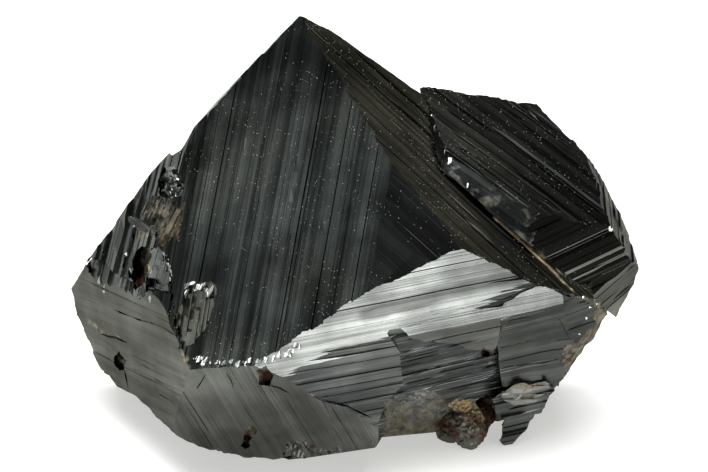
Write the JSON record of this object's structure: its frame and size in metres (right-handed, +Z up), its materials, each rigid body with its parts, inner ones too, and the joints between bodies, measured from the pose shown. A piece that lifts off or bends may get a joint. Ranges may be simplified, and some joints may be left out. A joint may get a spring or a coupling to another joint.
{
  "type": "magnetite crystal specimen",
  "caption": "Black magnetite mineral specimen: intergrown bevelled octahedral crystals with striated faces, a broken flat base and a rusty nodule.",
  "frame": {"origin": "under the middle of the bounding box, on the plane of the flat base", "axes": "+Z up, the large striated faces towards -Y, the second crystal at the +X end"},
  "size_m": [0.0328, 0.0216, 0.0244],
  "materials": {
    "magnetite": "dark metallic lustre, striated"
  },
  "bodies": {
    "root": {"magnetite_crystals": "magnetite"}
  },
  "joints": []
}
